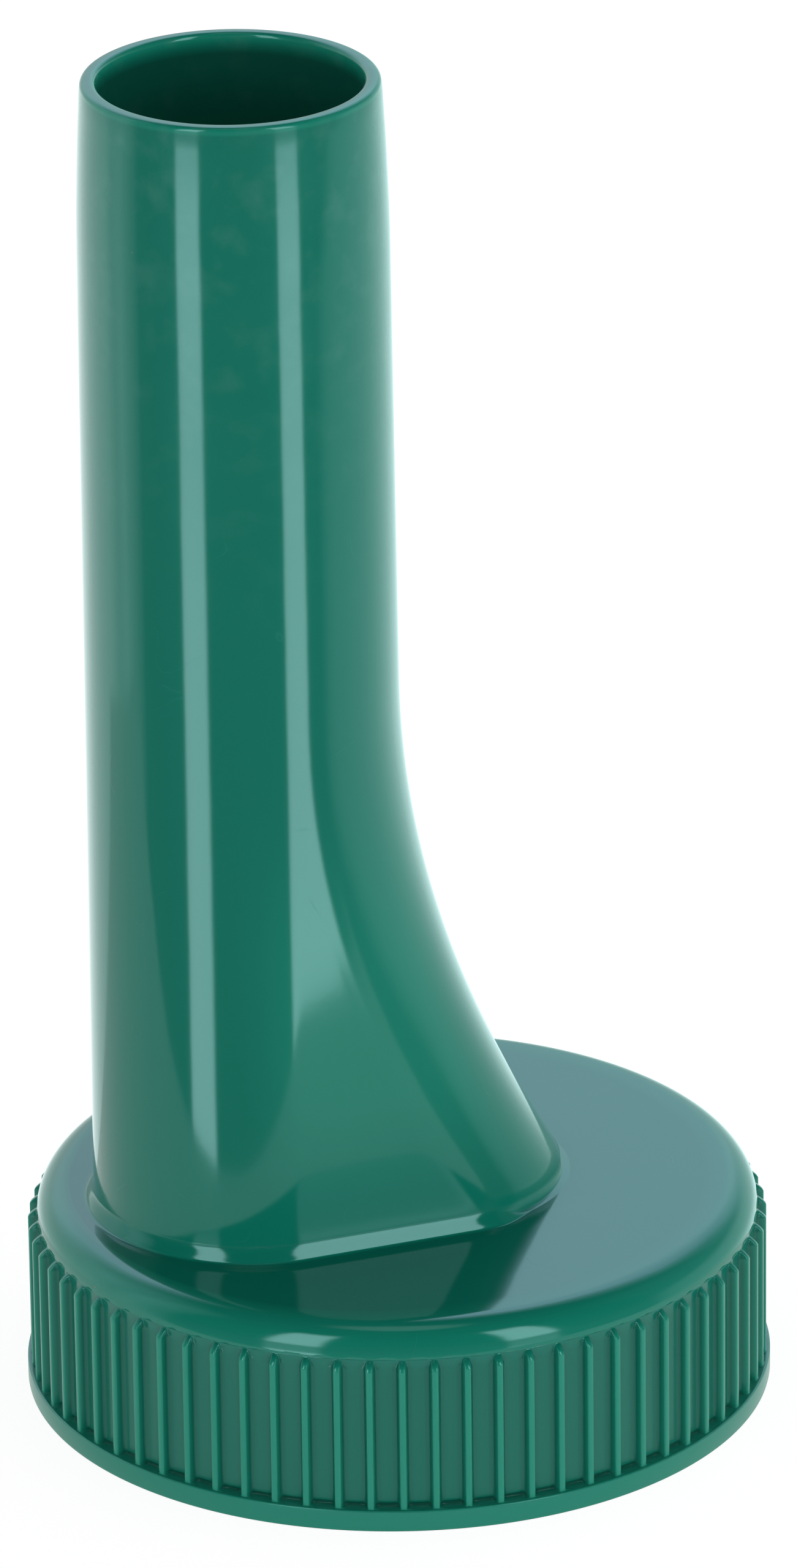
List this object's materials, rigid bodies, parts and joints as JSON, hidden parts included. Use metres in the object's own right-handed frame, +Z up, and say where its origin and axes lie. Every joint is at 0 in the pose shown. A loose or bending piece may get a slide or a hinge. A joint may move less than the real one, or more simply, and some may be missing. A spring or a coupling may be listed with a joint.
{
  "type": "screw-on pouring spout",
  "caption": "Ribbed screw cap with a tall offset pouring tube whose foot flares over the cap, and a sealing washer inside.",
  "frame": {"origin": "on the cap's axis, in the plane of the rim that it stands on", "axes": "+Z up along the cap's axis; the spout's tube stands at -X and its foot flares towards +X; the part is symmetric about the plane Y = 0 apart from its thread"},
  "size_m": [0.07, 0.07, 0.1302],
  "materials": {
    "moulding": "glossy injection-moulded green plastic",
    "washer": "matt dark grey rubber"
  },
  "bodies": {
    "root": {"screw_cap": "moulding", "pouring_spout": "moulding", "sealing_washer": "washer"}
  },
  "joints": []
}
